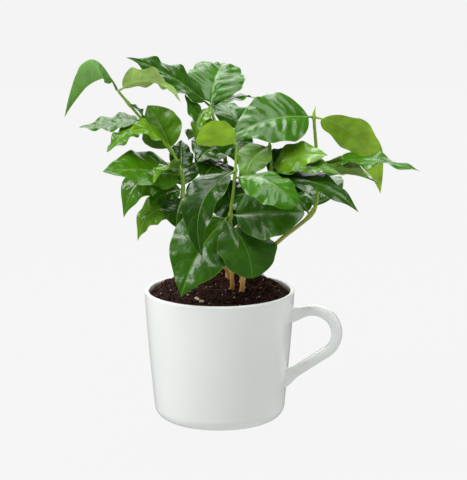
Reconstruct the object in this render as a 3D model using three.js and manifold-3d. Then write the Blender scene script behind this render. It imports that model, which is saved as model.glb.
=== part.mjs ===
// A young coffee plant of six stems, growing in a white glazed mug.
// Millimetres, +Z up. The mug stands on the plane z = 0 with its axis on Z and its handle towards +X.

import * as THREE from 'three';
import { ParametricGeometry } from 'three/addons/geometries/ParametricGeometry.js';
import { mergeVertices } from 'three/addons/utils/BufferGeometryUtils.js';
import Module from 'manifold-3d';

const wasm = await Module();
wasm.setup();

// Mug
const MUG_HEIGHT = 85;
const RIM_RADIUS = 48.8;
const WALL_TAPER = 6.8;
const WALL_BELLY = 1.25;
const WALL_THICKNESS = 3;
const FLOOR_THICKNESS = 5;
const FOOT_CORNER = 8.6;
const MUG_SIDES = 40;

// Handle: a run that rises out of the wall, one round bend, and a straight run that slopes back to the wall
const HANDLE_TOP = 73.6;
const HANDLE_LIFT = 15;
const HANDLE_BEND_OUT = 62;
const HANDLE_BEND_RADIUS = 15.2;
const HANDLE_SLOPE = 35;
const HANDLE_THICKNESS = 6.8;
const HANDLE_WIDTH = 11;
const HANDLE_FLARE = 0.5;
const HANDLE_FLARE_RUN = 0.13;
const HANDLE_SIDES = 14;
const HANDLE_STEPS = 26;

// Soil: a mound inside the mug, levelled by a slope that falls to the front
const SOIL_TOP = 95;
const SOIL_EDGE = 81.5;
const SOIL_BROW = 3.5;
const SOIL_MIDDLE = 90;
const SOIL_SLOPE = 0.17;
const SEAT_DEPTH = 0.8;
const SEAT_MARGIN = 0.8;

// Clear space between neighbouring solids
const GAP = 0.3;

// A join's edges shorter than SLIVER and triangles lower than FLAT are tidied away
const SLIVER = 0.12;
const FLAT = 0.02;
const TIDY_PASSES = 8;

// Stems
const ROOT_FLARE = 0.18;
const ROOT_FLARE_HEIGHT = 7;
const TIP_TAPER = 0.62;
const STEM_SIDES = 8;
const STEM_STEP = 7;

// Leaves
const PETIOLE_SHARE = 0.07;
const PETIOLE_RADIUS = 0.8;
const BLADE_THICKNESS = 0.8;
const BLADE_SHOULDER = 0.62;
const BLADE_TIP = 1.12;
const BLADE_CURL = 15;
const SECTION_TURN = 0.5;
const MARGIN_WAVE = 1.4;
const MARGIN_WAVES = 3;
const LEAF_STEPS = 11;
const LEAF_SIDES = 8;

// Each stem rises through a few points, from its foot in the soil to its topmost bud
const STEMS = {
  left: {
    girth: 1.3,
    points: [
      [6, 4], [4, -2, 100], [-11, -13, 114], [-21, -12, 140], [-23, -7, 160], [-31, -5, 177], [-49, -6, 196],
      [-66, -7, 216],
    ],
  },
  front: {
    girth: 1.3,
    points: [[10, -9], [11, -22, 120], [12, -27, 140], [15, -29, 165], [16, -28, 186]],
  },
  mid: {
    girth: 1.35,
    points: [[14, 1], [22, -6, 112], [31, -7, 142], [34, -2, 165], [32, 2, 184]],
  },
  right: {
    girth: 1.5,
    points: [
      [17, -15], [20, -12, 100], [39, 5, 118], [58, 14, 134], [62, 16, 150], [61, 17, 170], [59, 16, 197],
      [60, 17, 204],
    ],
  },
  back: {
    girth: 1.5,
    points: [[4, 9], [3, 15, 130], [0, 20, 170], [-7, 21, 193], [-11, 23, 203]],
  },
  rear: {
    girth: 1.4,
    points: [[13, 11], [7, 30, 130], [7, 44, 160], [6, 50, 182]],
  },
};

// Each leafy shoot is a stretch of one stem between two heights, with the leaves of its nodes.
// A leaf leaves its stem at the height "at". Its tip lies "reach" out along "bearing", in degrees
// from +X towards +Y, and "rise" above its root. Its midrib bows up by "arch", aside by "sway" and
// back towards its root by the share "nod" of the way to its tip.
// The blade is turned about the midrib by "roll" and its halves are lifted by "fold", in degrees.
// Its sections turn only half as far as the midrib does, so that a strong bow keeps them clear of
// each other. "tip" above one draws the blade's end out, and below one rounds it.
const SHOOTS = [
  {
    name: 'left_low', stem: 'left', from: 112, to: 171, leaves: [
      { at: 147, bearing: 262, reach: 13, rise: -17, width: 22, arch: 3, roll: -25, tip: 0.8 },
      { at: 140, bearing: 185, reach: 30, rise: -22, width: 22, arch: 10, roll: -45 },
      { at: 152, bearing: 200, reach: 21, rise: -10, width: 20, arch: 3, roll: -45, tip: 0.8 },
      { at: 156, bearing: 205, reach: 39, rise: -21, width: 30, arch: 15, roll: -35 },
      { at: 152, bearing: 110, reach: 42, rise: 8, width: 28, arch: 8 },
      { at: 160, bearing: 220, reach: 57, rise: 8, width: 36, arch: 3, roll: -33 },
      { at: 163, bearing: 100, reach: 17, rise: 18, width: 16, arch: 2, roll: 10 },
      { at: 165, bearing: 260, reach: 46, rise: -2, width: 16, arch: 4, roll: 20, fold: 35 },
    ],
  },
  {
    name: 'left_top', stem: 'left', from: 171, to: 216, leaves: [
      { at: 176, bearing: 155, reach: 19, rise: 28, width: 29, arch: 2, roll: -70, fold: 20, tip: 1 },
      { at: 178, bearing: 235, reach: 35, rise: 14, width: 22, arch: 6, roll: -35 },
      { at: 194, bearing: 230, reach: 31, rise: -16, width: 16, arch: 2, roll: -15, wave: 2 },
      { at: 196, bearing: 180, reach: 42, rise: -6, width: 24, arch: 0, roll: -18 },
      { at: 214, bearing: 355, reach: 42, rise: -6, width: 30, arch: 10, roll: -30, fold: 20 },
      {
        at: 215, bearing: 215, reach: 36, rise: -16, width: 38, arch: 26, nod: 0.25, roll: -8, fold: -24,
        wave: 0.4,
      },
    ],
  },
  {
    name: 'front_low', stem: 'front', from: 112, to: 155, leaves: [
      { at: 133, bearing: 315, reach: 24, rise: -30, width: 44, arch: 6, tip: 0.6 },
      { at: 139, bearing: 0, reach: 47, rise: 3, width: 40, arch: 2, roll: 50, tip: 0.75 },
      { at: 140, bearing: 225, reach: 38, rise: -48, width: 44, arch: 6, roll: -35, fold: 8 },
    ],
  },
  {
    name: 'front_top', stem: 'front', from: 155, to: 186, leaves: [
      { at: 168, bearing: 240, reach: 32, rise: -50, width: 27, arch: 14, roll: -8, fold: 22, sway: -4 },
      { at: 164, bearing: 340, reach: 44, rise: -14, width: 30, arch: 7, roll: 25, fold: -10, tip: 0.6 },
      {
        at: 185, bearing: 215, reach: 26, rise: 9, width: 24, arch: 3, roll: 50, fold: 5, tip: 0.3,
        wave: 0.5,
      },
    ],
  },
  {
    name: 'mid', stem: 'mid', from: 130, to: 184, leaves: [
      { at: 136, bearing: 88, reach: 42, rise: -14, width: 26, arch: 5 },
      { at: 160, bearing: 342, reach: 62, rise: -17, width: 22, arch: 8, roll: 20 },
      { at: 165, bearing: 354, reach: 37, rise: 11, width: 25, arch: 4, roll: 42 },
      { at: 182, bearing: 80, reach: 38, rise: 8, width: 26, arch: 7 },
      { at: 180, bearing: 222, reach: 19, rise: -22, width: 24, arch: 5, roll: -25 },
    ],
  },
  {
    name: 'right_low', stem: 'right', from: 128, to: 182, leaves: [
      { at: 136, bearing: 78, reach: 48, rise: 14, width: 28, arch: 8 },
      { at: 133, bearing: 150, reach: 36, rise: 16, width: 24, arch: 6 },
      { at: 157, bearing: 340, reach: 44, rise: 0, width: 20, arch: 5, roll: -25, fold: 25 },
      { at: 166, bearing: 352, reach: 68, rise: -1, width: 22, arch: 5, roll: 10, wave: 2.5 },
    ],
  },
  {
    name: 'right_top', stem: 'right', from: 182, to: 204, leaves: [
      { at: 197, bearing: 40, reach: 53, rise: -55, width: 25, arch: 13, roll: -45, wave: 2.2 },
      { at: 197, bearing: 210, reach: 57, rise: -10, width: 40, arch: 5, roll: -44, fold: 9 },
    ],
  },
  {
    name: 'back_low', stem: 'back', from: 152, to: 190, leaves: [
      { at: 158, bearing: 160, reach: 44, rise: -16, width: 28, arch: 8 },
      { at: 165, bearing: 255, reach: 36, rise: -6, width: 30, arch: 4, roll: -20 },
      { at: 170, bearing: 35, reach: 34, rise: -8, width: 28, arch: 7 },
      { at: 175, bearing: 250, reach: 33, rise: -5, width: 30, arch: 4, roll: -20 },
      { at: 178, bearing: 131, reach: 44, rise: -4, width: 29, arch: 8 },
    ],
  },
  {
    name: 'back_top', stem: 'back', from: 190, to: 203, leaves: [
      { at: 200, bearing: 50, reach: 43, rise: 2, width: 24, arch: 5 },
      { at: 201, bearing: 250, reach: 18, rise: -20, width: 13, arch: 5 },
      { at: 200, bearing: 85, reach: 45, rise: 24, width: 38, arch: 10, roll: 10 },
      { at: 202, bearing: 205, reach: 55, rise: 33, width: 26, arch: 4, roll: -35, wave: 2.2 },
    ],
  },
  {
    name: 'rear', stem: 'rear', from: 132, to: 182, leaves: [
      { at: 140, bearing: 30, reach: 45, rise: -12, width: 28, arch: 7 },
      { at: 140, bearing: 120, reach: 48, rise: -10, width: 30, arch: 8 },
      { at: 160, bearing: 40, reach: 40, rise: -15, width: 26, arch: 7 },
      { at: 160, bearing: 90, reach: 48, rise: -5, width: 30, arch: 8 },
      { at: 180, bearing: 45, reach: 42, rise: 12, width: 28, arch: 7 },
      { at: 180, bearing: 128, reach: 42, rise: 14, width: 28, arch: 7 },
    ],
  },
];

const LEAF_DEFAULTS = { roll: 0, fold: 10, sway: 0, nod: 0, tip: BLADE_TIP, wave: MARGIN_WAVE };
const { degToRad, lerp, smoothstep, clamp } = THREE.MathUtils;

// Solids

function toSolid(geometry) {
  const bare = geometry.clone();
  bare.deleteAttribute('normal');
  bare.deleteAttribute('uv');
  const merged = mergeVertices(bare);
  const corners = merged.index.array;
  const triangles = [];
  for (let i = 0; i < corners.length; i += 3) {
    const [a, b, c] = [corners[i], corners[i + 1], corners[i + 2]];
    if (a !== b && b !== c && c !== a) triangles.push(a, b, c);
  }
  return new wasm.Manifold(new wasm.Mesh({
    numProp: 3,
    vertProperties: new Float32Array(merged.attributes.position.array),
    triVerts: new Uint32Array(triangles),
  }));
}

function pointReader(coordinates) {
  return (corner) => new THREE.Vector3().fromArray(coordinates, 3 * corner);
}

function inThrees(corners) {
  return Array.from({ length: corners.length / 3 }, (_, i) => [...corners.subarray(3 * i, 3 * i + 3)]);
}

function areaOf([a, b, c], point) {
  return new THREE.Triangle(point(a), point(b), point(c)).getArea();
}

// Draws the ends of each edge shorter than SLIVER together, where the surface stays closed
function withoutShortEdges(triangles, point) {
  const near = new Map();
  for (const corner of triangles.flat()) near.set(corner, new Set());
  for (const triangle of triangles) {
    for (const corner of triangle) triangle.forEach((other) => near.get(corner).add(other));
  }
  const moved = new Map();
  const settled = new Set();
  for (const [a, b, c] of triangles) {
    for (const [keep, drop] of [[a, b], [b, c], [c, a]]) {
      const shared = [...near.get(keep)].filter((corner) => near.get(drop).has(corner));
      const long = point(keep).distanceTo(point(drop)) > SLIVER;
      if (long || shared.length !== 4 || settled.has(keep) || settled.has(drop)) continue;
      moved.set(drop, keep);
      for (const corner of [...near.get(keep), ...near.get(drop)]) settled.add(corner);
    }
  }
  const kept = triangles.map((triangle) => triangle.map((corner) => moved.get(corner) ?? corner));
  return kept.filter((triangle) => new Set(triangle).size === 3);
}

// Turns the long edge of each triangle lower than FLAT, so that it joins the corners that face it
function withoutFlatTriangles(triangles, point) {
  const owner = new Map();
  triangles.forEach(([a, b, c], i) => {
    for (const edge of [[a, b], [b, c], [c, a]]) owner.set(edge.join(), i);
  });
  const spent = new Set();
  const result = triangles.slice();
  triangles.forEach((triangle, i) => {
    const length = (k) => point(triangle[k]).distanceTo(point(triangle[(k + 1) % 3]));
    const k = [0, 1, 2].reduce((best, next) => (length(next) > length(best) ? next : best));
    const [a, b, c] = [0, 1, 2].map((step) => triangle[(k + step) % 3]);
    const height = 2 * areaOf(triangle, point) / length(k);
    const other = owner.get([b, a].join());
    const d = triangles[other].find((corner) => corner !== a && corner !== b);
    const crossed = owner.has([c, d].join()) || owner.has([d, c].join());
    if (height > FLAT || crossed || spent.has(i) || spent.has(other)) return;
    result[i] = [a, d, c];
    result[other] = [d, b, c];
    spent.add(i).add(other);
  });
  return result;
}

// The one large body of a join, without sealed hollows, loose scraps and slivers
function mainBody(solid) {
  const pieces = solid.simplify(FLAT).decompose();
  const body = pieces.reduce((best, piece) => (piece.volume() > best.volume() ? piece : best));
  const { vertProperties, triVerts } = body.getMesh();
  const point = pointReader(vertProperties);
  let triangles = inThrees(triVerts);
  for (let pass = 0; pass < TIDY_PASSES; pass += 1) {
    triangles = withoutShortEdges(triangles, point);
    triangles = withoutFlatTriangles(triangles, point);
  }
  return new wasm.Manifold(new wasm.Mesh({
    numProp: 3,
    vertProperties,
    triVerts: new Uint32Array(triangles.flat()),
  }));
}

function toMesh(name, solid, material) {
  const { vertProperties, triVerts } = solid.getMesh();
  const geometry = new THREE.BufferGeometry();
  geometry.setAttribute('position', new THREE.BufferAttribute(vertProperties, 3));
  geometry.setIndex(Array.from(triVerts));
  geometry.computeVertexNormals();
  const mesh = new THREE.Mesh(geometry, material);
  mesh.name = name;
  return mesh;
}

// Mug

function turned(profile) {
  return new THREE.LatheGeometry(profile, MUG_SIDES).rotateX(Math.PI / 2);
}

function wallRadius(z) {
  return RIM_RADIUS - WALL_TAPER * (1 - z / MUG_HEIGHT) ** WALL_BELLY;
}

function wallPoints(from, to, inset, steps) {
  return Array.from({ length: steps + 1 }, (_, i) => {
    const z = lerp(from, to, i / steps);
    return new THREE.Vector2(wallRadius(z) - inset, z);
  });
}

function arcPoints(x, z, radius, from, to, steps) {
  return Array.from({ length: steps + 1 }, (_, i) => {
    const angle = degToRad(lerp(from, to, i / steps));
    return new THREE.Vector2(x + radius * Math.cos(angle), z + radius * Math.sin(angle));
  });
}

function mugOutside() {
  const lip = WALL_THICKNESS / 2;
  return turned([
    new THREE.Vector2(0, 0),
    ...arcPoints(wallRadius(FOOT_CORNER) - FOOT_CORNER, FOOT_CORNER, FOOT_CORNER, -90, -12, 4),
    ...wallPoints(FOOT_CORNER, MUG_HEIGHT - lip, 0, 5),
    ...arcPoints(RIM_RADIUS - lip, MUG_HEIGHT - lip, lip, 30, 90, 2),
    new THREE.Vector2(0, MUG_HEIGHT),
  ]);
}

function mugInside() {
  const lip = WALL_THICKNESS / 2;
  const corner = FOOT_CORNER - WALL_THICKNESS;
  const low = FLOOR_THICKNESS + corner;
  return turned([
    new THREE.Vector2(0, FLOOR_THICKNESS),
    ...arcPoints(wallRadius(low) - WALL_THICKNESS - corner, low, corner, -90, -15, 3),
    ...wallPoints(low, MUG_HEIGHT - lip, WALL_THICKNESS, 4),
    ...arcPoints(RIM_RADIUS - lip, MUG_HEIGHT - lip, lip, 150, 90, 2),
    new THREE.Vector2(RIM_RADIUS - lip, MUG_HEIGHT + lip),
    new THREE.Vector2(0, MUG_HEIGHT + lip),
  ]);
}

function handlePath() {
  const centre = HANDLE_TOP - HANDLE_BEND_RADIUS;
  const bendStart = degToRad(HANDLE_LIFT + 90);
  const bendEnd = degToRad(HANDLE_SLOPE - 90);
  const startX = wallRadius(HANDLE_TOP) - WALL_THICKNESS;
  const runX = HANDLE_BEND_OUT + HANDLE_BEND_RADIUS * Math.cos(bendStart);
  const runZ = centre + HANDLE_BEND_RADIUS * Math.sin(bendStart);
  const endX = HANDLE_BEND_OUT + HANDLE_BEND_RADIUS * Math.cos(bendEnd);
  const endZ = centre + HANDLE_BEND_RADIUS * Math.sin(bendEnd);
  const footX = wallRadius(endZ) - 1.5 * WALL_THICKNESS;
  const path = new THREE.Path();
  path.moveTo(startX, runZ - (runX - startX) * Math.tan(degToRad(HANDLE_LIFT)));
  path.lineTo(runX, runZ);
  path.absarc(HANDLE_BEND_OUT, centre, HANDLE_BEND_RADIUS, bendStart, bendEnd, true);
  path.lineTo(footX, endZ - (endX - footX) * Math.tan(degToRad(HANDLE_SLOPE)));
  return path;
}

// The strap's section is a rounded oblong that flares where it runs into the wall
function handleGeometry() {
  const path = handlePath();
  return new ParametricGeometry((u, v, target) => {
    const step = v * HANDLE_STEPS;
    const along = clamp((step - 1) / (HANDLE_STEPS - 2), 0, 1);
    const closing = Math.min(step, HANDLE_STEPS - step, 1);
    const centre = path.getPointAt(along);
    const heading = path.getTangentAt(along);
    const toEnd = Math.min(along, 1 - along);
    const flare = closing * (1 + HANDLE_FLARE * (1 - smoothstep(toEnd, 0, HANDLE_FLARE_RUN)));
    const angle = 2 * Math.PI * u;
    const round = (value) => Math.sign(value) * Math.abs(value) ** 0.7;
    const outward = flare * round(Math.cos(angle)) * HANDLE_THICKNESS / 2;
    const across = -flare * round(Math.sin(angle)) * HANDLE_WIDTH / 2;
    target.set(centre.x - heading.y * outward, across, centre.y + heading.x * outward);
  }, HANDLE_SIDES, HANDLE_STEPS);
}

// Soil

function moundHeight(radius) {
  const edge = wallRadius(SOIL_EDGE) - WALL_THICKNESS - GAP;
  return SOIL_TOP - (SOIL_TOP - SOIL_EDGE) * (radius / edge) ** SOIL_BROW;
}

function footHeight([x, y]) {
  const surface = Math.min(moundHeight(Math.hypot(x, y)), SOIL_MIDDLE + SOIL_SLOPE * y);
  return surface - SEAT_DEPTH + GAP;
}

function soilGeometry() {
  const corner = FOOT_CORNER - WALL_THICKNESS;
  const low = FLOOR_THICKNESS + corner;
  const inset = WALL_THICKNESS + GAP;
  const edge = wallRadius(SOIL_EDGE) - inset;
  const mound = [0.92, 0.82, 0.7, 0.5, 0].map((share) => {
    return new THREE.Vector2(edge * share, moundHeight(edge * share));
  });
  return turned([
    new THREE.Vector2(0, FLOOR_THICKNESS + GAP),
    ...arcPoints(wallRadius(low) - WALL_THICKNESS - corner, low, corner - GAP, -90, -15, 3),
    ...wallPoints(low, SOIL_EDGE, inset, 4),
    ...mound,
  ]);
}

function aboveSlope() {
  const block = new THREE.BoxGeometry(4 * RIM_RADIUS, 4 * RIM_RADIUS, SOIL_TOP);
  block.translate(0, 0, SOIL_TOP / 2);
  block.rotateX(Math.atan(SOIL_SLOPE));
  block.translate(0, 0, SOIL_MIDDLE);
  return block;
}

function seatGeometry(stem) {
  const [x, y] = stem.points[0];
  const radius = stem.girth * (1 + ROOT_FLARE) + SEAT_MARGIN;
  const seat = new THREE.CylinderGeometry(radius, radius, SOIL_TOP, 16);
  seat.rotateX(Math.PI / 2);
  seat.translate(x, y, footHeight(stem.points[0]) - GAP + SOIL_TOP / 2);
  return seat;
}

// Stems

function stemCurve(stem) {
  const points = stem.points.map(([x, y, z]) => new THREE.Vector3(x, y, z ?? footHeight([x, y])));
  return new THREE.CatmullRomCurve3(points, false, 'catmullrom', 0.5);
}

// The curve's parameter at a height, found by halving
function parameterAt(curve, height) {
  let low = 0;
  let high = 1;
  for (let i = 0; i < 40; i += 1) {
    const middle = (low + high) / 2;
    if (curve.getPoint(middle).z < height) low = middle;
    else high = middle;
  }
  return (low + high) / 2;
}

function stemRadius(stem, curve, point) {
  const foot = curve.points[0].z;
  const top = curve.points[curve.points.length - 1].z;
  const share = clamp((point.z - foot) / (top - foot), 0, 1);
  const flare = ROOT_FLARE * Math.exp(-Math.max(point.z - foot, 0) / ROOT_FLARE_HEIGHT * 2);
  return stem.girth * (lerp(1, TIP_TAPER, share) + flare);
}

// A tapering limb with flat ends, carried along the curve from one height to another
function limbGeometry(stem, curve, from, to) {
  const start = parameterAt(curve, from);
  const end = parameterAt(curve, to);
  const steps = Math.ceil((to - from) / STEM_STEP) + 3;
  return new ParametricGeometry((u, v, target) => {
    const step = v * steps;
    const along = lerp(start, end, clamp((step - 1) / (steps - 2), 0, 1));
    const closing = Math.min(step, steps - step, 1);
    const centre = curve.getPoint(along);
    const heading = curve.getTangent(along);
    const first = new THREE.Vector3(1, 0, 0).addScaledVector(heading, -heading.x).normalize();
    const second = new THREE.Vector3().crossVectors(heading, first);
    const angle = 2 * Math.PI * u;
    const radius = closing * stemRadius(stem, curve, centre);
    target.copy(centre);
    target.addScaledVector(first, radius * Math.cos(angle));
    target.addScaledVector(second, radius * Math.sin(angle));
  }, STEM_SIDES, steps);
}

// The bare part of a stem, cut level where it stands on the soil
function bareStem(stem, top) {
  const curve = stemCurve(stem);
  const foot = curve.points[0].clone();
  const below = foot.clone().sub(curve.getTangent(0).multiplyScalar(2 * stem.girth));
  const sunk = new THREE.CatmullRomCurve3([below, ...curve.points], false, 'catmullrom', 0.5);
  const ground = new THREE.BoxGeometry(4 * RIM_RADIUS, 4 * RIM_RADIUS, SOIL_TOP);
  ground.translate(0, 0, foot.z - SOIL_TOP / 2);
  const cut = toSolid(limbGeometry(stem, sunk, below.z, top)).subtract(toSolid(ground));
  return mainBody(cut);
}

// Leaves

function bladeWidth(share, tip) {
  const peak = BLADE_SHOULDER / (BLADE_SHOULDER + tip);
  const height = peak ** BLADE_SHOULDER * (1 - peak) ** tip;
  return share ** BLADE_SHOULDER * (1 - share) ** tip / height;
}

// Splits the under face's quads along the same diagonals as the upper face's, so that the two stay parallel
function turnUnderside(index) {
  for (let k = 0; k < index.count; k += 6) {
    if ((k / 6) % LEAF_SIDES >= LEAF_SIDES / 2) {
      const [a, b, d, c] = [index.getX(k), index.getX(k + 1), index.getX(k + 2), index.getX(k + 4)];
      [a, b, c, a, c, d].forEach((corner, place) => index.setX(k + place, corner));
    }
  }
}

// A stalk that widens into a blade with a folded, curled and waved lens section
function leafGeometry(root, spec) {
  const leaf = { ...LEAF_DEFAULTS, ...spec };
  const bearing = degToRad(leaf.bearing);
  const side = new THREE.Vector3(-Math.sin(bearing), Math.cos(bearing), 0);
  const chord = new THREE.Vector3(leaf.reach * Math.cos(bearing), leaf.reach * Math.sin(bearing), leaf.rise);
  const lift = new THREE.Vector3().crossVectors(chord, side).normalize();
  const phase = 0.7 * leaf.at + 0.05 * leaf.bearing;
  const blade = new ParametricGeometry((u, v, target) => {
    const step = v * LEAF_STEPS;
    const along = clamp((step - 1) / (LEAF_STEPS - 1), 0, 1);
    const closing = Math.min(step, 1);
    const bow = 4 * along * (1 - along);
    const slope = 4 - 8 * along;
    const turn = SECTION_TURN * slope;
    const heading = chord.clone().multiplyScalar(1 - leaf.nod * turn);
    heading.addScaledVector(lift, leaf.arch * turn).addScaledVector(side, leaf.sway * turn).normalize();
    const upright = new THREE.Vector3().crossVectors(heading, side).normalize();
    const level = new THREE.Vector3().crossVectors(upright, heading);
    const across = level.clone().applyAxisAngle(heading, degToRad(leaf.roll));
    const normal = upright.clone().applyAxisAngle(heading, degToRad(leaf.roll));
    const place = LEAF_SIDES * u;
    const half = LEAF_SIDES / 2;
    const upper = place <= half;
    const s = upper ? 1 - 4 * place / LEAF_SIDES : 4 * (place - half) / LEAF_SIDES - 1;
    const share = clamp((along - PETIOLE_SHARE) / (1 - PETIOLE_SHARE), 0, 1);
    const spread = bladeWidth(share, leaf.tip) * leaf.width / 2;
    const reach = Math.max(spread, PETIOLE_RADIUS * (1 - along)) * Math.abs(s);
    const fold = degToRad(leaf.fold - BLADE_CURL * Math.abs(s) / 2);
    const stalk = 1 - smoothstep(along, 0, 2 * PETIOLE_SHARE);
    const thick = lerp(BLADE_THICKNESS / 2, PETIOLE_RADIUS, stalk) * (1 - s * s) * (1 - along ** 10);
    const ripple = 2 * Math.PI * MARGIN_WAVES * share + phase + (s > 0 ? 2 : 0);
    const wave = leaf.wave * Math.sin(Math.PI * share) * s * s * Math.sin(ripple);
    const height = reach * Math.sin(fold) + wave + (upper ? thick : -thick);
    target.copy(root).addScaledVector(chord, along - leaf.nod * bow);
    target.addScaledVector(lift, leaf.arch * bow).addScaledVector(side, leaf.sway * bow);
    target.addScaledVector(across, closing * Math.sign(s) * reach * Math.cos(fold));
    target.addScaledVector(normal, closing * height);
  }, LEAF_SIDES, LEAF_STEPS);
  turnUnderside(blade.index);
  return blade;
}

// A leafy stretch of stem with its leaves joined to it
function shootSolid(shoot) {
  const stem = STEMS[shoot.stem];
  const curve = stemCurve(stem);
  let solid = toSolid(limbGeometry(stem, curve, shoot.from + GAP, shoot.to));
  for (const leaf of shoot.leaves) {
    const root = curve.getPoint(parameterAt(curve, leaf.at));
    solid = solid.add(toSolid(leafGeometry(root, leaf)));
  }
  return mainBody(solid);
}

// Materials

function glaze() {
  return new THREE.MeshStandardMaterial({ color: 0xe4e8e5, roughness: 0.2, metalness: 0 });
}

function earth() {
  return new THREE.MeshStandardMaterial({ color: 0x2c1c14, roughness: 0.95, metalness: 0 });
}

function bark() {
  return new THREE.MeshStandardMaterial({ color: 0x8a6a3a, roughness: 0.75, metalness: 0 });
}

function foliage() {
  return new THREE.MeshStandardMaterial({ color: 0x2f6a1c, roughness: 0.4, metalness: 0 });
}

// Assembly

const plant = new THREE.Group();

const mug = toSolid(mugOutside()).add(toSolid(handleGeometry())).subtract(toSolid(mugInside()));
plant.add(toMesh('mug', mainBody(mug), glaze()));

let soil = toSolid(soilGeometry()).subtract(toSolid(aboveSlope()));
for (const stem of Object.values(STEMS)) soil = soil.subtract(toSolid(seatGeometry(stem)));
plant.add(toMesh('soil', mainBody(soil), earth()));

for (const [name, stem] of Object.entries(STEMS)) {
  const top = Math.min(...SHOOTS.filter((shoot) => shoot.stem === name).map((shoot) => shoot.from));
  plant.add(toMesh(`stem_${name}`, bareStem(stem, top), bark()));
}

for (const shoot of SHOOTS) plant.add(toMesh(`foliage_${shoot.name}`, shootSolid(shoot), foliage()));

export default plant;
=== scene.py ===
"""Looks of a young coffee plant growing in a white glazed mug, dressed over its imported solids.

Sizes are in millimetres, as in the part's source, and go into the meshes in metres.
The mug stands on z = 0 with its axis on Z and its handle towards +X.
"""

import math
from typing import NamedTuple

import bpy
import numpy as np
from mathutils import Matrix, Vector


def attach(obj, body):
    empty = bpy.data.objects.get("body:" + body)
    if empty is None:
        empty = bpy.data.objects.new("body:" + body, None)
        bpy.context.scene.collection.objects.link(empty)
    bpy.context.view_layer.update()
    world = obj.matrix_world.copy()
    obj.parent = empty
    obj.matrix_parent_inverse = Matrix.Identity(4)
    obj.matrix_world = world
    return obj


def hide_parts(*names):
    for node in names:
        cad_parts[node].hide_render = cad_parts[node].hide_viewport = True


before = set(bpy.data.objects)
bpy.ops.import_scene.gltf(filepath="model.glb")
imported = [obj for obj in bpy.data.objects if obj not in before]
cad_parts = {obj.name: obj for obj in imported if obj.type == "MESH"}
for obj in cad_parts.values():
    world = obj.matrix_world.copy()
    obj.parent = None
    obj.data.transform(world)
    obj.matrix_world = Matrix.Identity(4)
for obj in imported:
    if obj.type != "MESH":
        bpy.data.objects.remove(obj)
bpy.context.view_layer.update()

MM = 0.001
SHARP_ANGLE = 55.0

# Mug
MUG_HEIGHT = 85.0
RIM_RADIUS = 48.8
WALL_TAPER = 6.8
WALL_BELLY = 1.25
WALL_THICKNESS = 3.0
FLOOR_THICKNESS = 5.0
FOOT_CORNER = 8.6
INNER_CORNER = FOOT_CORNER - WALL_THICKNESS
INNER_LOW = FLOOR_THICKNESS + INNER_CORNER
FOOT_RINGS = (12.0, 24.0)
MUG_SIDES = 192
OUTER_STEPS = 60
INNER_STEPS = 40

# Rounds of the mug's outline: first and last angle in degrees, and steps. The wall starts past them.
FOOT_ROUND = (-90, -6, 16)
LIP_ROUND = (8, 172, 14)
INNER_ROUND = (-8, -90, 8)
PAST_ROUND = 1.0

# Handle: its two ends lie behind the wall's outer face, at depths in wall thicknesses
HANDLE_TOP = 73.6
HANDLE_LIFT = 15.0
HANDLE_BEND_OUT = 62.0
HANDLE_BEND_RADIUS = 15.2
HANDLE_SLOPE = 35.0
HANDLE_THICKNESS = 6.8
HANDLE_WIDTH = 11.0
HANDLE_SQUARING = 0.7
HANDLE_FLARE = 0.5
HANDLE_FLARE_RUN = 0.13
HANDLE_START_DEPTH = 0.6
HANDLE_FOOT_DEPTH = 1.5
HANDLE_SIDES = 48
HANDLE_STEPS = 150
HANDLE_BEND_STEPS = 60

# Soil
SOIL_TOP = 95.0
SOIL_EDGE = 81.5
SOIL_BROW = 3.5
SOIL_MIDDLE = 90.0
SOIL_SLOPE = 0.17
SEAT_DEPTH = 0.8
GAP = 0.3
SOIL_ROUND = (-90, -8, 8)
SOIL_WALL_STEPS = 20
SOIL_WALL_BITE = 0.05
SOIL_EDGE_RUN = 1.0
SOIL_CENTRE = 0.4
SOIL_RINGS = 90
SOIL_SIDES = 300

# Lumps and hollows of the soil's face: size, height, and the share of the height that is sunk in the mound
SOIL_LUMPS = [(9.0, 2.8, 0.62), (4.0, 2.0, 0.62), (2.1, 1.2, 0.7), (1.1, 0.7, 0.7)]
LATTICE_SIZE = 96
LATTICE_SHIFT = (40.3, 40.7)
WALL_CALM = 0.7
WALL_CALM_RUN = 5.0

# What lies on the soil: reach as a share of the soil's radius, radii from smallest to largest
CRUMB_REACH = 0.95
CRUMB_COUNT = 1500
CRUMB_RADII = (0.45, 1.25)
CRUMB_JITTER = (0.75, 1.25)
CRUMB_STRETCH = (0.6, 1.4)
CHIP_COUNT = 420
CHIP_RADII = (0.35, 0.95)
PERLITE_REACH = 0.92
PERLITE_COUNT = 80
PERLITE_RADII = (0.3, 0.75)
PERLITE_LIFT = 0.3

# A clump of large perlite grains near the front: x, y and radius
PERLITE_CLUMP = [(-8.5, -31.5, 2.2), (-6.2, -32.2, 1.7), (-9.6, -30.2, 1.3)]

# Root threads on the soil
THREAD_COUNT = 110
THREAD_REACH = 0.86
THREAD_LIMIT = 0.94
THREAD_LENGTHS = (5.0, 13.0)
THREAD_RADII = (0.09, 0.19)
THREAD_BEND = 3.0
THREAD_LIFT = 0.35
THREAD_ARCH = 1.6
THREAD_POINTS = 7

# Stems
ROOT_FLARE = 0.18
ROOT_FLARE_HEIGHT = 7.0
ROOT_SINK = 3.0
TIP_TAPER = 0.62
NODE_SWELL = 0.3
NODE_LENGTH = 1.8
BUD_LENGTH = 6.0
BUD_NARROWING = 0.85
BUD_POWER = 1.3
STEM_SIDES = 20
STEM_STEP = 0.6
CURVE_STEPS = 900

# Bark relief in shares of the stem's radius: ribs by depth, count and turn per millimetre up, then rings
BARK_RIBS = [(0.035, 5, 0.21), (0.025, 3, -0.9)]
BARK_RING_DEPTH = 0.02
BARK_RING_TURN = 2.4

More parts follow.
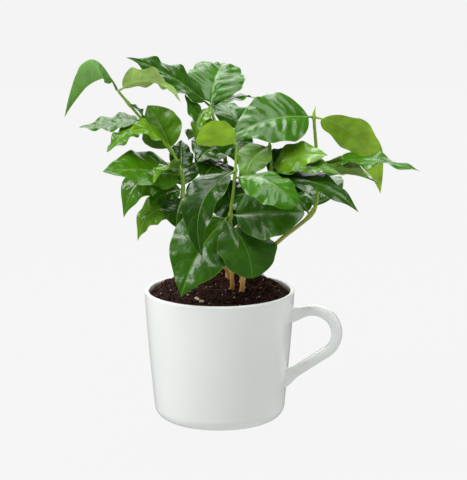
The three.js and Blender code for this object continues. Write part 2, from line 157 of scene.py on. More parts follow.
# Leaves
PETIOLE_SHARE = 0.07
PETIOLE_RADIUS = 0.8
BLADE_THICKNESS = 0.36
BLADE_SHOULDER = 0.62
BLADE_TIP = 1.12
BLADE_CURL = 15.0
TIP_THINNING = 10
SECTION_TURN = 0.5
MARGIN_WAVE = 1.4
MARGIN_WAVES = 3
MARGIN_OFFSET = 2.0
LEAF_ROWS = 84
LEAF_COLUMNS = 22
LEAF_RING = 2 * LEAF_COLUMNS
CHART_MARGIN = 0.04

# Hollows along the lateral veins, and the bulges between them, whose height is for a leaf of QUILT_WIDTH
VEIN_PAIRS = 7
VEIN_CROWDING = 0.9
VEIN_SLANT = 0.2
VEIN_SWEEP = 1.5
VEIN_STAGGER = 0.35
QUILT_HEIGHT = 1.0
QUILT_WIDTH = 36.0
SWELL_HEIGHT = 0.9
CRINKLE_HEIGHT = 0.2
SCALLOP_SHARE = 0.007

# Midrib: its relief on each face, and its painted half-width, which narrows towards the tip
RIB_SPREAD = 0.8
RIB_SINK = 0.45
RIB_STAND = 0.55
RIB_HALF_WIDTH = 0.55
RIB_NARROWING = 0.4

# Patterns of the materials, by their size
LEAF_MOTTLE = 7.7
LEAF_RIPPLE = 2.63
STREAK_WIDTH = 0.8333
STREAK_LENGTH = 6.25
GLAZE_POOL = 30.3
GLAZE_RIPPLE = 7.14

# Pale lines on a leaf: where each is palest and where it ends, in the measure that leaf_material says
VEIN_LINE = (0.015, 0.09)
RIB_LINE = (0.4, 1.3)
MARGIN_LINE = (0.99, 0.95)
MARGIN_SHARE = 0.25

# Heights between which bark goes from tan to green and the mug's bottom from matt cream to white glaze
BARK_TAN, BARK_GREEN = 86.0, 150.0
CREAM_BELOW, WHITE_ABOVE = 0.1, 0.3

# Studio, in metres and degrees
FLOOR_REACH = 12.0
FLOOR_DROP = 0.0004
FLOOR_SHADE = 0.01
FLOOR_GLOW = 0.9
SKY_GLOW = 0.14
LAMP_AIM = (0.0, 0.0, 0.13)

# Camera, which shows the point AIM at AIM_PIXEL in the photo
CAMERA_AZIMUTH = 10.0
CAMERA_ELEVATION = 12.77
CAMERA_DISTANCE = 1.2
SENSOR_WIDTH = 36.0
PHOTO_WIDTH, PHOTO_HEIGHT = 467, 480
FOCUS_PIXELS = 1845.5
AIM = (0.0, 0.0, 0.100)
AIM_PIXEL = (219.44, 266.5)


class Stem(NamedTuple):
    """A stem: its radius above the root flare, and the points it grows through, the first on the soil."""

    girth: float
    points: list


class Leaf(NamedTuple):
    """One leaf of a shoot, with angles in degrees."""

    at: float  # height at which it leaves the stem
    bearing: float  # direction of its tip, from +X towards +Y
    reach: float  # how far out its tip lies
    rise: float  # how far up its tip lies
    width: float  # width of the blade
    arch: float  # from 0, just opened, to 1, old and dark; also set high as painted shade on shaded leaves and low as painted sheen on two under faces
    age_shade_and_sheen: float  # from 0, just opened, to 1, old and dark
    roll: float = 0  # turn about the midrib
    fold: float = 10  # how steeply each half rises from the midrib
    sway: float = 0  # how far the midrib bows to the side
    nod: float = 0  # share of the chord by which the midrib's middle is held back
    tip: float = BLADE_TIP  # power that draws out the point
    wave: float = MARGIN_WAVE  # height of the waves at the margin
    quilt: float = 1  # strength of the bulges between the veins
    wax: float = 1  # gloss, from 0, bare, to 1, waxed


class Shoot(NamedTuple):
    """A leafy stretch of a stem between two heights."""

    stem: str
    start: float
    end: float
    leaves: list


STEMS = {
    "left": Stem(1.3, [(6, 4), (4, -2, 100), (-11, -13, 114), (-21, -12, 140), (-23, -7, 160), (-31, -5, 177),
                       (-49, -6, 196), (-66, -7, 216)]),
    "front": Stem(1.3, [(10, -9), (11, -22, 120), (12, -27, 140), (15, -29, 165), (16, -28, 186)]),
    "mid": Stem(1.35, [(14, 1), (22, -6, 112), (31, -7, 142), (34, -2, 165), (32, 2, 184)]),
    "right": Stem(1.5, [(17, -15), (20, -12, 100), (39, 5, 118), (58, 14, 134), (62, 16, 150), (61, 17, 170),
                        (59, 16, 197), (60, 17, 204)]),
    "back": Stem(1.5, [(4, 9), (3, 15, 130), (0, 20, 170), (-7, 21, 193), (-11, 23, 203)]),
    "rear": Stem(1.4, [(13, 11), (7, 30, 130), (7, 44, 160), (6, 50, 182)]),
}

# Leafy shoots
# Ages near 0 on the two leaves that show their under faces whiten them partly as painted sheen.
# Ages near 1 on the hanging front leaf and on leaves deep in the crown darken them partly as painted shade.
SHOOTS = {
    "left_low": Shoot("left", 112, 171, [
        Leaf(147, 262, 13, -17, 22, 3, 0.9, roll=-25, tip=0.8),
        Leaf(140, 185, 30, -22, 22, 10, 0.42, roll=-45),
        Leaf(152, 200, 21, -10, 20, 3, 0.62, roll=-45, tip=0.8),
        Leaf(156, 205, 39, -21, 30, 15, 0.55, roll=-35),
        Leaf(152, 110, 42, 8, 28, 8, 0.7),
        Leaf(160, 220, 57, 8, 36, 3, 0.56, roll=-33),
        Leaf(163, 100, 17, 18, 16, 2, 0.9, roll=10),
        Leaf(165, 260, 46, -2, 16, 4, 0.45, roll=20, fold=35),
        Leaf(148, 20, 26, -6, 30, 4, 0.95, roll=20),
    ]),
    "left_top": Shoot("left", 171, 216, [
        Leaf(176, 155, 19, 28, 29, 2, 0.46, roll=-70, fold=20, tip=1, wax=0.6),
        Leaf(178, 235, 35, 14, 22, 6, 0.32, roll=-35),
        Leaf(194, 230, 31, -16, 16, 2, 0.5, roll=-15, wave=2),
        Leaf(196, 180, 42, -6, 24, 0, 0.62, roll=-18),
        # Shows its under face, whose youngest tone is whitened as painted sheen
        Leaf(214, 355, 42, -6, 30, 10, 0.02, roll=-30, fold=20, wave=2),
        Leaf(215, 215, 36, -16, 38, 26, 0.56, nod=0.25, roll=-8, fold=-24, wave=0.4, quilt=0.8, wax=0),
        Leaf(206, 340, 12, -13, 7, 3, 0.8, roll=-20, fold=30, wave=1),
    ]),
    "front_low": Shoot("front", 112, 155, [
        Leaf(133, 315, 24, -30, 44, 6, 0.76, tip=0.6, quilt=0.3, wax=0.7),
        Leaf(139, 0, 47, 3, 40, 2, 0.72, roll=50, tip=0.75, quilt=0.6, wax=0.8),
        Leaf(140, 225, 38, -48, 44, 6, 0.76, roll=-35, fold=8, quilt=0.6),
    ]),
    "front_top": Shoot("front", 155, 186, [
        # Hangs in front; its age near 1 darkens it partly as painted shade
        Leaf(168, 240, 32, -50, 27, 14, 0.96, roll=-8, fold=22, sway=-4, quilt=0.8),
        Leaf(164, 340, 44, -14, 30, 7, 0.6, roll=25, fold=-10, tip=0.6),
        Leaf(185, 215, 26, 9, 24, 3, 0.1, roll=50, fold=5, tip=0.3, wave=0.5, quilt=0.3),
    ]),
    "mid": Shoot("mid", 130, 184, [
        Leaf(136, 88, 42, -14, 26, 5, 0.8),
        Leaf(160, 342, 62, -17, 22, 8, 0.92, roll=20, quilt=0.5),
        Leaf(165, 354, 37, 11, 25, 4, 0.36, roll=42, quilt=0.5),
        Leaf(182, 80, 38, 8, 26, 7, 0.8),
        Leaf(180, 222, 19, -22, 24, 5, 0.46, roll=-25, wave=0.8, quilt=0.4, wax=0.5),
        Leaf(163, 350, 46, 2, 20, 5, 0.5, roll=25, fold=15),
        Leaf(148, 350, 30, 10, 30, 4, 0.95, roll=40),
        Leaf(150, 165, 34, -10, 34, 4, 0.95, roll=-30),
        Leaf(158, 32, 28, 15, 28, 3, 0.95, roll=50),
    ]),
    "right_low": Shoot("right", 128, 182, [
        Leaf(136, 78, 48, 14, 28, 8, 0.7),
        Leaf(133, 150, 36, 16, 24, 6, 0.75),
        Leaf(157, 340, 44, 0, 20, 5, 0.45, roll=-25, fold=25),
        Leaf(166, 352, 68, -1, 22, 5, 0.6, roll=10, wave=2.5),
        # Shows its under face, whose youngest tone is whitened as painted sheen
        Leaf(163, 2, 34, -4, 18, 4, 0.0, roll=-45, quilt=1.6),
    ]),
    "right_top": Shoot("right", 182, 204, [
        Leaf(197, 40, 53, -55, 25, 13, 0.15, roll=-45, wave=2.2),
        Leaf(197, 210, 57, -10, 40, 5, 0.66, roll=-44, fold=9, quilt=1.5),
    ]),
    "back_low": Shoot("back", 152, 190, [
        Leaf(158, 160, 44, -16, 28, 8, 0.75),
        Leaf(165, 255, 36, -6, 30, 4, 0.95, roll=-20),
        Leaf(170, 35, 34, -8, 28, 7, 0.75),
        Leaf(175, 250, 33, -5, 30, 4, 0.92, roll=-20),
        Leaf(178, 131, 44, -4, 29, 8, 0.6),
        Leaf(156, 285, 30, -30, 36, 5, 0.95, roll=-10),
        Leaf(184, 320, 26, -20, 30, 5, 0.9, roll=10),
        Leaf(186, 210, 23, 25, 14, -3, 0.6, roll=-60),
    ]),
    "back_top": Shoot("back", 190, 203, [
        Leaf(200, 50, 43, 2, 24, 5, 0.62),
        Leaf(201, 250, 18, -20, 13, 5, 0.42),
        Leaf(200, 85, 45, 24, 38, 10, 0.66, roll=10, quilt=2),
        Leaf(202, 205, 55, 33, 26, 4, 0.84, roll=-35, wave=2.6, quilt=2),
    ]),
    "rear": Shoot("rear", 132, 182, [
        Leaf(140, 30, 45, -12, 28, 7, 0.72),
        Leaf(140, 120, 48, -10, 30, 8, 0.78),
        Leaf(160, 40, 40, -15, 26, 7, 0.65),
        Leaf(160, 90, 48, -5, 30, 8, 0.7),
        Leaf(180, 45, 42, 12, 28, 7, 0.62),
        Leaf(180, 128, 42, 14, 28, 7, 0.72),
    ]),
}


def colour(code):
    """An sRGB hex value as linear red, green, blue and alpha."""
    value = np.array([int(code[i:i + 2], 16) for i in (1, 3, 5)]) / 255
    linear = np.where(value <= 0.04045, value / 12.92, ((value + 0.055) / 1.055) ** 2.4)
    return (*linear.tolist(), 1.0)


def smoothstep(low, high, value):
    """0 below low, 1 above high, and a cubic ease between."""
    share = np.clip((value - low) / (high - low), 0, 1)
    return share * share * (3 - 2 * share)


def unit(vectors):
    """The vectors at length 1."""
    return vectors / np.linalg.norm(vectors, axis=-1, keepdims=True)


# Meshes


def put_mesh(name, shape, materials, replaces=(), layers=None, attributes=None, picks=None):
    """Makes one smooth-shaded piece of the object.

    shape is its points in millimetres and then its faces, as index arrays of one corner count each. layers
    are UV maps as lists of arrays that match the faces, attributes are numbers per point, and picks is a
    material number per face.
    """
    points, *faces = shape
    mesh = bpy.data.meshes.new(name)
    counts = np.concatenate([np.full(len(f), f.shape[1]) for f in faces])
    corners = np.concatenate([f.ravel() for f in faces])
    mesh.vertices.add(len(points))
    mesh.vertices.foreach_set("co", (points * MM).astype(np.float32).ravel())
    mesh.loops.add(len(corners))
    mesh.loops.foreach_set("vertex_index", corners.astype(np.int32))
    mesh.polygons.add(len(counts))
    mesh.polygons.foreach_set("loop_start", (np.cumsum(counts) - counts).astype(np.int32))
    for layer, values in (layers or {}).items():
        flat = np.concatenate([v.reshape(-1, 2) for v in values])
        mesh.uv_layers.new(name=layer).data.foreach_set("uv", flat.astype(np.float32).ravel())
    for attribute, values in (attributes or {}).items():
        made = mesh.attributes.new(attribute, "FLOAT", "POINT")
        made.data.foreach_set("value", np.asarray(values, np.float32))
    for material in materials:
        mesh.materials.append(material)
    if picks is not None:
        mesh.polygons.foreach_set("material_index", np.asarray(picks, np.int32))
    mesh.update(calc_edges=True)
    mesh.validate()
    mesh.shade_smooth()
    mesh.set_sharp_from_angle(angle=math.radians(SHARP_ANGLE))
    piece = bpy.data.objects.new(name, mesh)
    bpy.context.scene.collection.objects.link(piece)
    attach(piece, "root")
    if replaces:
        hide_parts(*replaces)


def tube_faces(rows, ring):
    """Corner numbers of a tube of rows of ring points each, whose two end points come after all the rows.

    Gives the quads between the rows and the two fans that close the ends, all facing out where the ring turns
    right-handed about the tube's direction.
    """
    i = np.arange(rows - 1)[:, None] * ring
    j = np.arange(ring)
    k = (j + 1) % ring
    quads = np.stack([i + j, i + k, i + ring + k, i + ring + j], axis=-1).reshape(-1, 4)
    first = np.stack([np.full(ring, rows * ring), k, j], axis=-1)
    last = (rows - 1) * ring
    final = np.stack([np.full(ring, rows * ring + 1), last + j, last + k], axis=-1)
    return quads, np.concatenate([first, final])


def tube(rings, first, last):
    """Points, quads and triangles of a closed tube through rings of points, with a point in each end."""
    rows, ring = rings.shape[:2]
    return np.concatenate([rings.reshape(-1, 3), [first, last]]), *tube_faces(rows, ring)


def joined(parts):
    """Stacks several (points, quads, triangles) into one."""
    starts = np.cumsum([0] + [len(p[0]) for p in parts])
    points = np.concatenate([p[0] for p in parts])
    quads = np.concatenate([p[1] + s for p, s in zip(parts, starts)])
    triangles = np.concatenate([p[2] + s for p, s in zip(parts, starts)])
    return points, quads, triangles


# Materials


def new_material(name):
    """A material with an empty node tree."""
    material = bpy.data.materials.new(name)
    material.use_nodes = True
    material.node_tree.nodes.clear()
    return material


def add_node(material, kind, inputs=None, stops=None, **settings):
    """Adds one shader node.

    settings are its own properties, inputs pairs a socket with a value or a link, and stops colour a ramp.
    """
    made = material.node_tree.nodes.new(kind)
    for name, value in settings.items():
        setattr(made, name, value)
    for place, code in stops or []:
        elements = made.color_ramp.elements
        spot = elements[0] if place == 0 else elements[-1] if place == 1 else elements.new(place)
        spot.color = colour(code)
    for socket, value in (inputs or {}).items():
        if isinstance(value, bpy.types.NodeSocket):
            material.node_tree.links.new(value, made.inputs[socket])
        else:
            made.inputs[socket].default_value = value
    return made


def leaf_material(name, ages, vein, vein_share, rib_share, waxed, dull, specular, glow):
    """A coffee leaf's face: a base colour from young to old, with painted shade and painted sheen on some
    leaves, paler veins and margin, and soft mottling.

    The map "veins" gives vein_count, whose even numbers carry a pale vein, and the way across the blade from
    -1 to 1. "rib" is the distance from the midrib in its half-widths. "wax" takes the roughness from bare to
    waxed, and glow is the share of the light that goes through the blade.
    """
    m = new_material(name)
    here = add_node(m, "ShaderNodeTexCoord").outputs["Object"]
    age_shade_and_sheen = add_node(m, "ShaderNodeAttribute", attribute_name="age_shade_and_sheen")
    base = add_node(m, "ShaderNodeValToRGB", {"Fac": age_shade_and_sheen.outputs["Fac"]}, stops=ages)
    mottle = add_node(m, "ShaderNodeTexNoise", {"Vector": here, "Scale": 1 / (LEAF_MOTTLE * MM),
                                                "Detail": 3.0})
    shade = add_node(m, "ShaderNodeMapRange", {"Value": mottle.outputs["Fac"], "From Min": 0.3,
                                               "From Max": 0.7, "To Min": 0.8, "To Max": 1.15})
    mottled = add_node(m, "ShaderNodeVectorMath", {0: base.outputs["Color"],
                                                   "Scale": shade.outputs["Result"]}, operation="SCALE")
    chart = add_node(m, "ShaderNodeUVMap", uv_map="veins")
    axes = add_node(m, "ShaderNodeSeparateXYZ", {"Vector": chart.outputs["UV"]})
    off_vein = add_node(m, "ShaderNodeMath", {0: axes.outputs["X"], 1: 1.0}, operation="PINGPONG")
    off_rib = add_node(m, "ShaderNodeAttribute", attribute_name="rib")
    across = add_node(m, "ShaderNodeMath", {0: axes.outputs["Y"]}, operation="ABSOLUTE")
    pale = 0.0
    for measure, (line, edge), share in (
        (off_vein.outputs["Value"], VEIN_LINE, vein_share),
        (off_rib.outputs["Fac"], RIB_LINE, rib_share),
        (across.outputs["Value"], MARGIN_LINE, MARGIN_SHARE),
    ):
        stroke = add_node(m, "ShaderNodeMapRange", {"Value": measure, "From Min": line, "From Max": edge,
                                                    "To Min": share, "To Max": 0.0},
                          interpolation_type="SMOOTHSTEP")
        palest = add_node(m, "ShaderNodeMath", {0: pale, 1: stroke.outputs["Result"]}, operation="MAXIMUM")
        pale = palest.outputs["Value"]
    veined = add_node(m, "ShaderNodeMix", {"Factor": pale, "A": mottled.outputs["Vector"], "B": colour(vein)},
                      data_type="RGBA")
    ripple = add_node(m, "ShaderNodeTexNoise", {"Vector": here, "Scale": 1 / (LEAF_RIPPLE * MM),
                                                "Detail": 3.0})
    bump = add_node(m, "ShaderNodeBump", {"Height": ripple.outputs["Fac"], "Strength": 0.26,
                                          "Distance": 0.8 * MM})
    wax = add_node(m, "ShaderNodeAttribute", attribute_name="wax")
    gloss = add_node(m, "ShaderNodeMapRange", {"Value": wax.outputs["Fac"], "To Min": dull, "To Max": waxed})
    face = add_node(m, "ShaderNodeBsdfPrincipled", {
        "Base Color": veined.outputs["Result"], "Roughness": gloss.outputs["Result"], "IOR": 1.45,
        "Specular IOR Level": specular, "Normal": bump.outputs["Normal"]})
    through = add_node(m, "ShaderNodeBsdfTranslucent", {"Color": veined.outputs["Result"]})
    both = add_node(m, "ShaderNodeMixShader", {"Fac": glow, 1: face.outputs["BSDF"],
                                               2: through.outputs["BSDF"]})
    add_node(m, "ShaderNodeOutputMaterial", {"Surface": both.outputs["Shader"]})
    return m


# A living coffee leaf's upper face has a waxy cuticle: deep green, with clear highlights between its veins
leaf_upper = leaf_material(
    "coffee leaf upper face, waxy cuticle",
    [(0, "#96be1a"), (0.3, "#6e9e12"), (0.6, "#3d7608"), (1, "#1a4000")],
    vein="#93bf4e", vein_share=0.08, rib_share=0.45, waxed=0.22, dull=0.6, specular=0.65, glow=0.2)

# Its under face has little wax: paler, greyer and nearly matt, with the veins standing out. Its youngest stop
# is whitened further as painted sheen.
leaf_under = leaf_material(
    "coffee leaf under face, bare",
    [(0, "#d8eaa4"), (0.1, "#c2e848"), (0.3, "#98c24c"), (0.6, "#74a048"), (1, "#557f37")],
    vein="#b0cc80", vein_share=0.3, rib_share=0.6, waxed=0.45, dull=0.6, specular=0.4, glow=0.42)


def stem_material():
    """Young coffee bark: green and smooth above, drying to tan and then brown at the foot.

    The colour runs with height, and lengthwise streaks break it up.
    """
    m = new_material("young coffee bark, green drying to tan")
    here = add_node(m, "ShaderNodeTexCoord").outputs["Object"]
    axes = add_node(m, "ShaderNodeSeparateXYZ", {"Vector": here})
    width, length = 1 / (STREAK_WIDTH * MM), 1 / (STREAK_LENGTH * MM)
    stretch = add_node(m, "ShaderNodeMapping", {"Vector": here, "Scale": (width, width, length)})
    streak = add_node(m, "ShaderNodeTexNoise", {"Vector": stretch.outputs["Vector"], "Scale": 1.0,
                                                "Detail": 3.0})
    height = add_node(m, "ShaderNodeMapRange", {"Value": axes.outputs["Z"], "From Min": BARK_TAN * MM,
                                                "From Max": BARK_GREEN * MM})
    uneven = add_node(m, "ShaderNodeMath", {0: streak.outputs["Fac"], 1: 0.25, 2: -0.125},
                      operation="MULTIPLY_ADD")
    shade = add_node(m, "ShaderNodeMath", {0: height.outputs["Result"], 1: uneven.outputs["Value"]},
                     operation="ADD")
    base = add_node(m, "ShaderNodeValToRGB", {"Fac": shade.outputs["Value"]}, stops=[
        (0, "#c58a52"), (0.16, "#d8ab60"), (0.4, "#b3ad50"), (0.7, "#9aae48"), (1, "#86ab3e")])
    bump = add_node(m, "ShaderNodeBump", {"Height": streak.outputs["Fac"], "Strength": 0.3,
                                          "Distance": 0.4 * MM})
    skin = add_node(m, "ShaderNodeBsdfPrincipled", {"Base Color": base.outputs["Color"], "Roughness": 0.5,
                                                    "IOR": 1.45, "Normal": bump.outputs["Normal"]})
    add_node(m, "ShaderNodeOutputMaterial", {"Surface": skin.outputs["BSDF"]})
    return m


def glaze_material():
    """Stoneware under a white glaze with a faint green-grey cast, soft gloss and a slightly uneven skin.

    The glaze pools a little darker in patches, its skin ripples, and a thin band at the very bottom is matt
    and a darker, warmer cream.
    """
    m = new_material("white glazed stoneware")
    here = add_node(m, "ShaderNodeTexCoord").outputs["Object"]
    axes = add_node(m, "ShaderNodeSeparateXYZ", {"Vector": here})
    pool = add_node(m, "ShaderNodeTexNoise", {"Vector": here, "Scale": 1 / (GLAZE_POOL * MM), "Detail": 2.0})
    base = add_node(m, "ShaderNodeValToRGB", {"Fac": pool.outputs["Fac"]},
                    stops=[(0, "#e3e7e3"), (1, "#eaedea")])
    # Matt and a darker, warmer cream in a thin band at the very bottom
    dull = add_node(m, "ShaderNodeMapRange", {"Value": axes.outputs["Z"], "From Min": CREAM_BELOW * MM,
                                              "From Max": WHITE_ABOVE * MM, "To Min": 1.0, "To Max": 0.0})
    body = add_node(m, "ShaderNodeMix", {"Factor": dull.outputs["Result"], "A": base.outputs["Color"],
                                         "B": colour("#d8d0c0")}, data_type="RGBA")
    gloss = add_node(m, "ShaderNodeMapRange", {"Value": dull.outputs["Result"], "To Min": 0.2,
                                               "To Max": 0.75})
    ripple = add_node(m, "ShaderNodeTexNoise", {"Vector": here, "Scale": 1 / (GLAZE_RIPPLE * MM),
                                                "Detail": 1.0})
    bump = add_node(m, "ShaderNodeBump", {"Height": ripple.outputs["Fac"], "Strength": 0.05, "Distance": MM})
    skin = add_node(m, "ShaderNodeBsdfPrincipled", {
        "Base Color": body.outputs["Result"], "Roughness": gloss.outputs["Result"], "IOR": 1.5,
        "Normal": bump.outputs["Normal"]})
    add_node(m, "ShaderNodeOutputMaterial", {"Surface": skin.outputs["BSDF"]})
    return m


def grain_material(name, stops, grain, roughness, depth):
    """A crumbly matt stuff whose colour goes through the stops in grains of that size, raised by depth."""
    m = new_material(name)
    here = add_node(m, "ShaderNodeTexCoord").outputs["Object"]
    speck = add_node(m, "ShaderNodeTexNoise", {"Vector": here, "Scale": 1 / (grain * MM), "Detail": 5.0,
                                               "Roughness": 0.65})
    # The same grains set colour and height: the darker stops lie in the bump's hollows as painted shade,
    # and the paler ones on its tops as painted highlight, over the stuff's own uneven tone
    base = add_node(m, "ShaderNodeValToRGB", {"Fac": speck.outputs["Fac"]}, stops=stops)
    bump = add_node(m, "ShaderNodeBump", {"Height": speck.outputs["Fac"], "Strength": 0.8,
                                          "Distance": depth * MM})
    stuff = add_node(m, "ShaderNodeBsdfPrincipled", {
        "Base Color": base.outputs["Color"], "Roughness": roughness, "Specular IOR Level": 0.2,
        "Normal": bump.outputs["Normal"]})
    add_node(m, "ShaderNodeOutputMaterial", {"Surface": stuff.outputs["BSDF"]})
    return m


bark = stem_material()
glaze = glaze_material()

# Moist peat: a dark brown whose near-black grains lie in the hollows as painted shade between its crumbs
peat = grain_material("moist potting peat",
                      [(0, "#070302"), (0.42, "#150a08"), (0.58, "#341b15"), (1, "#7a4c3a")],
                      grain=1.6, roughness=0.9, depth=0.5)

# Composted bark chips: red-brown splinters on the peat
chips = grain_material("composted bark chips", [(0, "#24120c"), (0.5, "#55301f"), (1, "#a0735a")],
                       grain=1.2, roughness=0.85, depth=0.3)

# Dry roots: thin tan threads
threads = grain_material("dry root threads", [(0, "#33190f"), (0.5, "#5a3322"), (1, "#a07a52")],
                         grain=4.0, roughness=0.8, depth=0.1)

# Expanded perlite: light, chalky grains
perlite = grain_material("expanded perlite", [(0, "#a88f76"), (1, "#dccbb4")],
                         grain=1.5, roughness=0.9, depth=0.3)


# Mug


def wall_radius(z):
    """Outer radius: the rim's, less a taper that grows as a power of the depth below the rim."""
    return RIM_RADIUS - WALL_TAPER * np.clip(1 - z / MUG_HEIGHT, 0, None) ** WALL_BELLY


def arc(x, z, radius, start, end, steps):
    """Points of (radius, height) on a circle, between two angles in degrees."""
    angle = np.radians(np.linspace(start, end, steps))
    return np.stack([x + radius * np.cos(angle), z + radius * np.sin(angle)], axis=-1)


def wall_line(start, end, inset, steps):
    """Points of (radius, height) between two heights, inset from the outer wall."""
    z = np.linspace(start, end, steps)
    return np.stack([wall_radius(z) - inset, z], axis=-1)


def turned(profile, sides):
    """A profile of (radius, height) carried round the Z axis, with its first and last point on the axis."""
    angle = np.linspace(0, 2 * np.pi, sides, endpoint=False)
    rings = profile[1:-1, None, :]
    points = np.stack([rings[..., 0] * np.cos(angle), rings[..., 0] * np.sin(angle),
                       np.broadcast_to(rings[..., 1], (len(rings), sides))], axis=-1)
    return tube(points, [0, 0, profile[0, 1]], [0, 0, profile[-1, 1]])


def mug_body():
    """The mug's outline turned: flat foot, rounded corner, bellied wall, round lip, then the inside."""
    lip = WALL_THICKNESS / 2
    outline = np.concatenate([
        [[radius, 0] for radius in (0, *FOOT_RINGS)],
        arc(wall_radius(FOOT_CORNER) - FOOT_CORNER, FOOT_CORNER, FOOT_CORNER, *FOOT_ROUND),
        wall_line(FOOT_CORNER + PAST_ROUND, MUG_HEIGHT - lip, 0, OUTER_STEPS),
        arc(RIM_RADIUS - lip, MUG_HEIGHT - lip, lip, *LIP_ROUND),
        wall_line(MUG_HEIGHT - lip, INNER_LOW + PAST_ROUND, WALL_THICKNESS, INNER_STEPS),
        arc(wall_radius(INNER_LOW) - WALL_THICKNESS - INNER_CORNER, INNER_LOW, INNER_CORNER, *INNER_ROUND),
        [[0, FLOOR_THICKNESS]],
    ])
    return turned(outline, MUG_SIDES)


def squared(wave):
    """A sine or cosine raised to a power, sign kept, which squares up a round section."""
    return np.sign(wave) * np.abs(wave) ** HANDLE_SQUARING


def mug_handle():
    """An oblong section that rises out of the wall, goes round one bend and slopes straight down to the wall.

    The section is a circle squared up, and swells towards both ends.
    """
    bend = arc(HANDLE_BEND_OUT, HANDLE_TOP - HANDLE_BEND_RADIUS, HANDLE_BEND_RADIUS,
               90 + HANDLE_LIFT, HANDLE_SLOPE - 90, HANDLE_BEND_STEPS)
    start_x = wall_radius(HANDLE_TOP) - HANDLE_START_DEPTH * WALL_THICKNESS
    start_z = bend[0, 1] - (bend[0, 0] - start_x) * np.tan(np.radians(HANDLE_LIFT))
    foot_x = wall_radius(bend[-1, 1]) - HANDLE_FOOT_DEPTH * WALL_THICKNESS
    foot_z = bend[-1, 1] - (bend[-1, 0] - foot_x) * np.tan(np.radians(HANDLE_SLOPE))
    route = np.concatenate([[[start_x, start_z]], bend, [[foot_x, foot_z]]])
    length = np.concatenate([[0], np.cumsum(np.linalg.norm(np.diff(route, axis=0), axis=1))])
    along = np.linspace(0, 1, HANDLE_STEPS)
    path = np.stack([np.interp(along * length[-1], length, route[:, k]) for k in (0, 1)], axis=-1)
    heading = unit(np.gradient(path, axis=0))
    flare = 1 + HANDLE_FLARE * (1 - smoothstep(0, HANDLE_FLARE_RUN, np.minimum(along, 1 - along)))
    angle = np.linspace(0, 2 * np.pi, HANDLE_SIDES, endpoint=False)
    outward = flare[:, None] * squared(np.cos(angle)) * HANDLE_THICKNESS / 2
    sideways = -flare[:, None] * squared(np.sin(angle)) * HANDLE_WIDTH / 2
    points = np.stack([path[:, :1] - heading[:, 1:] * outward, sideways,
                       path[:, 1:] + heading[:, :1] * outward], axis=-1)
    return tube(points, [path[0, 0], 0, path[0, 1]], [path[-1, 0], 0, path[-1, 1]])


put_mesh("glazed_mug", joined([mug_body(), mug_handle()]), [glaze], ["mug"])


# Soil

draw = np.random.default_rng(4)
LATTICE = draw.random((LATTICE_SIZE, LATTICE_SIZE))
SOIL_RADIUS = wall_radius(SOIL_EDGE) - WALL_THICKNESS


def lumps(x, y, size):
    """Smooth random heights from 0 to 1 on a square lattice of the given size, eased between its points."""
    u, v = x / size + LATTICE_SHIFT[0], y / size + LATTICE_SHIFT[1]
    i, j = np.floor(u).astype(int), np.floor(v).astype(int)
    f, g = smoothstep(0, 1, u - i), smoothstep(0, 1, v - j)
    i, j = np.stack([i, i + 1]) % LATTICE_SIZE, np.stack([j, j + 1]) % LATTICE_SIZE
    near, far = (LATTICE[i[0], j[k]] * (1 - f) + LATTICE[i[1], j[k]] * f for k in (0, 1))
    return near * (1 - g) + far * g


def mound_height(radius):
    """A mound: the top's height less a drop that grows as a power of the radius."""
    edge = SOIL_RADIUS - GAP
    return SOIL_TOP - (SOIL_TOP - SOIL_EDGE) * (radius / edge) ** SOIL_BROW


def soil_height(x, y):
    """The mound, levelled by a slope that falls to the front."""
    return np.minimum(mound_height(np.hypot(x, y)), SOIL_MIDDLE + SOIL_SLOPE * y)


def crumbly(x, y):
    """The soil's face: the mound with its lumps and hollows, calmer at the wall."""
    rough = sum(height * (lumps(x, y, size) - sunk) for size, height, sunk in SOIL_LUMPS)
    at_wall = smoothstep(SOIL_RADIUS - WALL_CALM_RUN, SOIL_RADIUS, np.hypot(x, y))
    return soil_height(x, y) + rough * (1 - WALL_CALM * at_wall)


def soil_body():
    """The soil turned to the shape of the mug's inside, its top a crumbly mound."""
    top = np.linspace(SOIL_RADIUS, SOIL_CENTRE, SOIL_RINGS)
    corner_x = wall_radius(INNER_LOW) - WALL_THICKNESS - INNER_CORNER
    outline = np.concatenate([
        [[0, FLOOR_THICKNESS + GAP]],
        arc(corner_x, INNER_LOW, INNER_CORNER - GAP, *SOIL_ROUND),
        wall_line(INNER_LOW + PAST_ROUND, SOIL_EDGE - SOIL_EDGE_RUN, WALL_THICKNESS - SOIL_WALL_BITE,
                  SOIL_WALL_STEPS),
        np.stack([top, mound_height(top)], axis=-1),
        [[0, SOIL_TOP]],
    ])
    points, quads, triangles = turned(outline, SOIL_SIDES)
    mound = points[:, 2] > SOIL_EDGE - 0.8 * SOIL_EDGE_RUN
    points[mound, 2] = crumbly(points[mound, 0], points[mound, 1])
    return points, quads, triangles


put_mesh("potting_soil", soil_body(), [peat], ["soil"])

# A twenty-sided ball, the start of every crumb
GOLDEN = (1 + 5 ** 0.5) / 2
BALL_CORNERS = unit(np.array([
    [-1, GOLDEN, 0], [1, GOLDEN, 0], [-1, -GOLDEN, 0], [1, -GOLDEN, 0], [0, -1, GOLDEN], [0, 1, GOLDEN],
    [0, -1, -GOLDEN], [0, 1, -GOLDEN], [GOLDEN, 0, -1], [GOLDEN, 0, 1], [-GOLDEN, 0, -1], [-GOLDEN, 0, 1]]))
BALL_FACES = np.array([
    [0, 11, 5], [0, 5, 1], [0, 1, 7], [0, 7, 10], [0, 10, 11], [1, 5, 9], [5, 11, 4], [11, 10, 2], [10, 7, 6],
    [7, 1, 8], [3, 9, 4], [3, 4, 2], [3, 2, 6], [3, 6, 8], [3, 8, 9], [4, 9, 5], [2, 4, 11], [6, 2, 10],
    [8, 6, 7], [9, 8, 1]])


